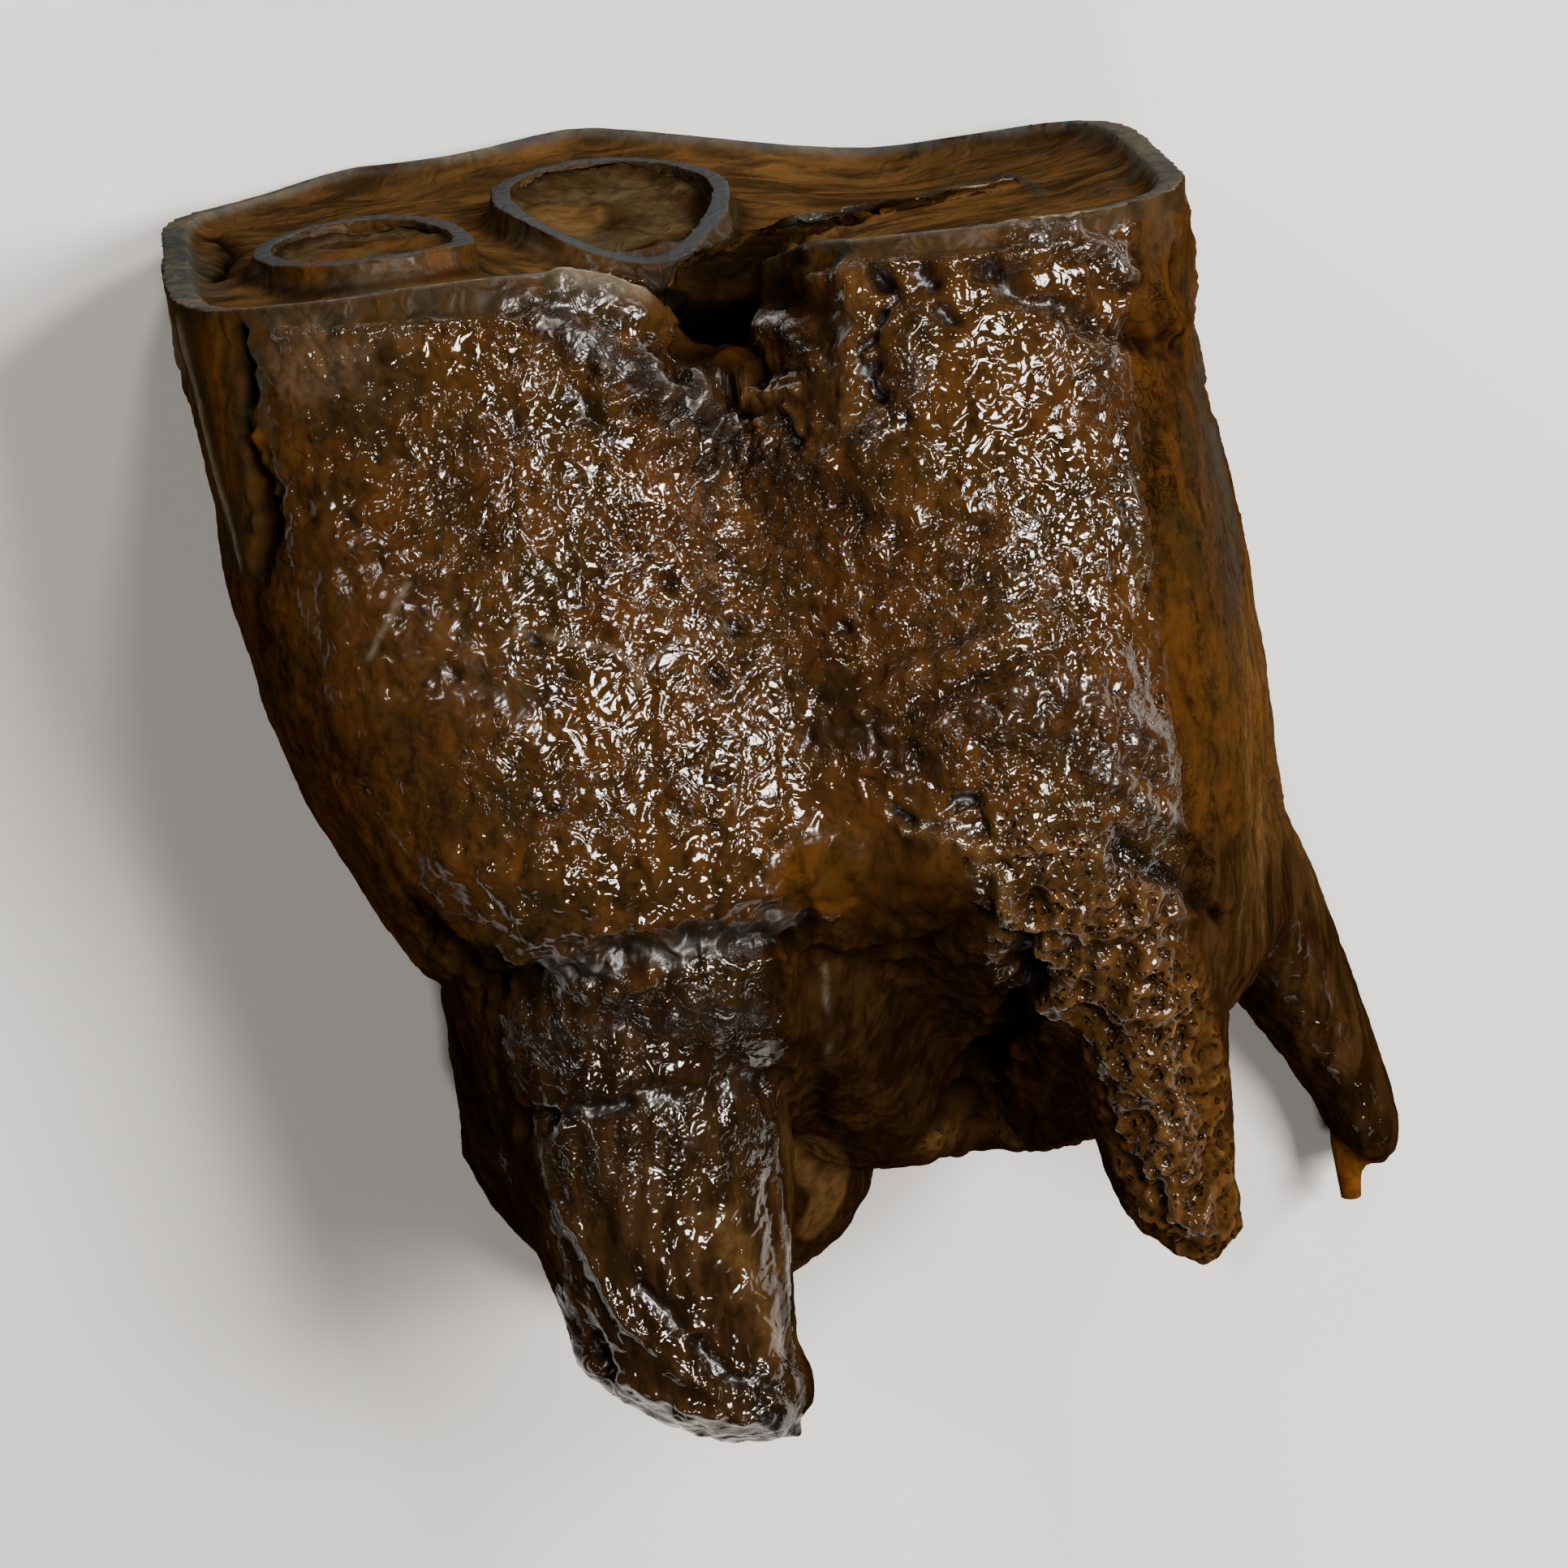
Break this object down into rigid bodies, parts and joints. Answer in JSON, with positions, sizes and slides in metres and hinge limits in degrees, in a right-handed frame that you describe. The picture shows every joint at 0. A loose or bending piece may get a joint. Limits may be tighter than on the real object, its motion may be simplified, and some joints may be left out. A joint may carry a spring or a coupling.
{
  "type": "fossil woolly rhino tooth",
  "caption": "Fossil upper cheek tooth of a woolly rhino, lying on its outer wall, with a worn, ridged crown and tapering roots.",
  "frame": {"origin": "bottom centre of the tooth's box, on the surface it lies on", "axes": "+X to the front of the jaw (mesial), +Y to the chewing face, +Z to the palate side, which is up while the tooth lies down"},
  "size_m": [0.0611, 0.0652, 0.0501],
  "materials": {
    "dentine": "dark brown fossil cement and dentine, rough but varnished or damp, with small wet glints",
    "enamel": "grey-brown fossil enamel, smooth and glossy",
    "root": "dark brown root dentine, finely pitted, satin to glossy"
  },
  "bodies": {
    "root": {"ectoloph": "dentine", "metaloph": "dentine", "protoloph": "dentine", "enamel_band": "enamel", "enamel_medifossette": "enamel", "enamel_postfossette": "enamel", "root_distolingual": "root", "root_distobuccal": "root", "root_mesiolingual": "root", "root_mesiobuccal": "root"}
  },
  "joints": []
}
